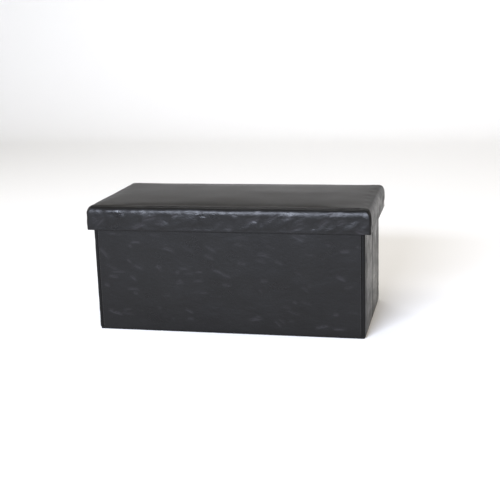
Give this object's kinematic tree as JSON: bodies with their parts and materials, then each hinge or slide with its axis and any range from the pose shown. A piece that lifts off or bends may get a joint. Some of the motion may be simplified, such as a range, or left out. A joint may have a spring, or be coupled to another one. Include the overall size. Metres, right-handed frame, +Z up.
{
  "type": "folding storage ottoman",
  "caption": "Low rectangular storage box with a padded lift-off lid; its two ends crease inwards so that the front panel folds flat against the back.",
  "frame": {"origin": "on the floor under the middle of the box", "axes": "+Z up, +X along the length, -Y towards the front panel"},
  "size_m": [0.76, 0.38, 0.35],
  "materials": {
    "coated_cloth": "black coated cloth, satin, fine grain",
    "felted_lining": "black non-woven felted cloth, matte",
    "fibreboard": "raw medium-density fibreboard",
    "foam": "open-cell upholstery foam",
    "steel": "zinc-plated wire"
  },
  "bodies": {
    "back": {"back_board": "fibreboard", "back_cover": "coated_cloth", "back_lining": "felted_lining", "base_board": "fibreboard", "base_wrap": "coated_cloth", "base_lining": "felted_lining", "base_hinge_strip": "coated_cloth", "hinge_strip_staples": "steel"},
    "left_rear": {"left_rear_board": "fibreboard", "left_rear_cover": "coated_cloth", "left_rear_lining": "felted_lining", "left_rear_corner_strip": "coated_cloth", "left_rear_corner_seam": "felted_lining", "left_crease_seam": "coated_cloth"},
    "left_front": {"left_front_board": "fibreboard", "left_front_cover": "coated_cloth", "left_front_lining": "felted_lining", "left_front_corner_strip": "coated_cloth", "left_front_corner_seam": "felted_lining"},
    "front": {"front_board": "fibreboard", "front_cover": "coated_cloth", "front_lining": "felted_lining"},
    "right_rear": {"right_rear_board": "fibreboard", "right_rear_cover": "coated_cloth", "right_rear_lining": "felted_lining", "right_rear_corner_strip": "coated_cloth", "right_rear_corner_seam": "felted_lining", "right_crease_seam": "coated_cloth"},
    "right_front": {"right_front_board": "fibreboard", "right_front_cover": "coated_cloth", "right_front_lining": "felted_lining", "right_front_corner_strip": "coated_cloth", "right_front_corner_seam": "felted_lining"},
    "lid": {"lid_board": "fibreboard", "lid_rim_front": "fibreboard", "lid_rim_back": "fibreboard", "lid_rim_left": "fibreboard", "lid_rim_right": "fibreboard", "lid_foam": "foam", "lid_cover": "coated_cloth", "lid_lining": "felted_lining", "lid_rim_nails": "steel", "lid_staples": "steel"}
  },
  "joints": [
    {"name": "left_end_fold", "type": "hinge", "parent": "back", "child": "left_rear", "pos_m": [-0.3567, 0.175, 0.0053], "axis": [0, 0, 1], "range_deg": [0, 90]},
    {"name": "left_crease", "type": "hinge", "parent": "left_rear", "child": "left_front", "pos_m": [-0.3643, 0, 0.0053], "axis": [0, 0, 1], "range_deg": [-180, 0]},
    {"name": "front_left_corner", "type": "hinge", "parent": "left_front", "child": "front", "pos_m": [-0.3567, -0.175, 0.0053], "axis": [0, 0, 1], "range_deg": [0, 90]},
    {"name": "right_end_fold", "type": "hinge", "parent": "back", "child": "right_rear", "pos_m": [0.3567, 0.175, 0.0053], "axis": [0, 0, 1], "range_deg": [-90, 0]},
    {"name": "front_right_corner", "type": "hinge", "parent": "front", "child": "right_front", "pos_m": [0.3567, -0.175, 0.0053], "axis": [0, 0, 1], "range_deg": [0, 90]},
    {"name": "lid_lift", "type": "slide", "parent": "back", "child": "lid", "axis": [0, 0, 1], "range_m": [0, 0.25]}
  ],
  "couplings": [
    {"joint": "left_crease", "follows": "left_end_fold", "ratio": -2},
    {"joint": "front_left_corner", "follows": "left_end_fold", "ratio": 1},
    {"joint": "right_end_fold", "follows": "left_end_fold", "ratio": -1},
    {"joint": "front_right_corner", "follows": "left_end_fold", "ratio": 1}
  ]
}
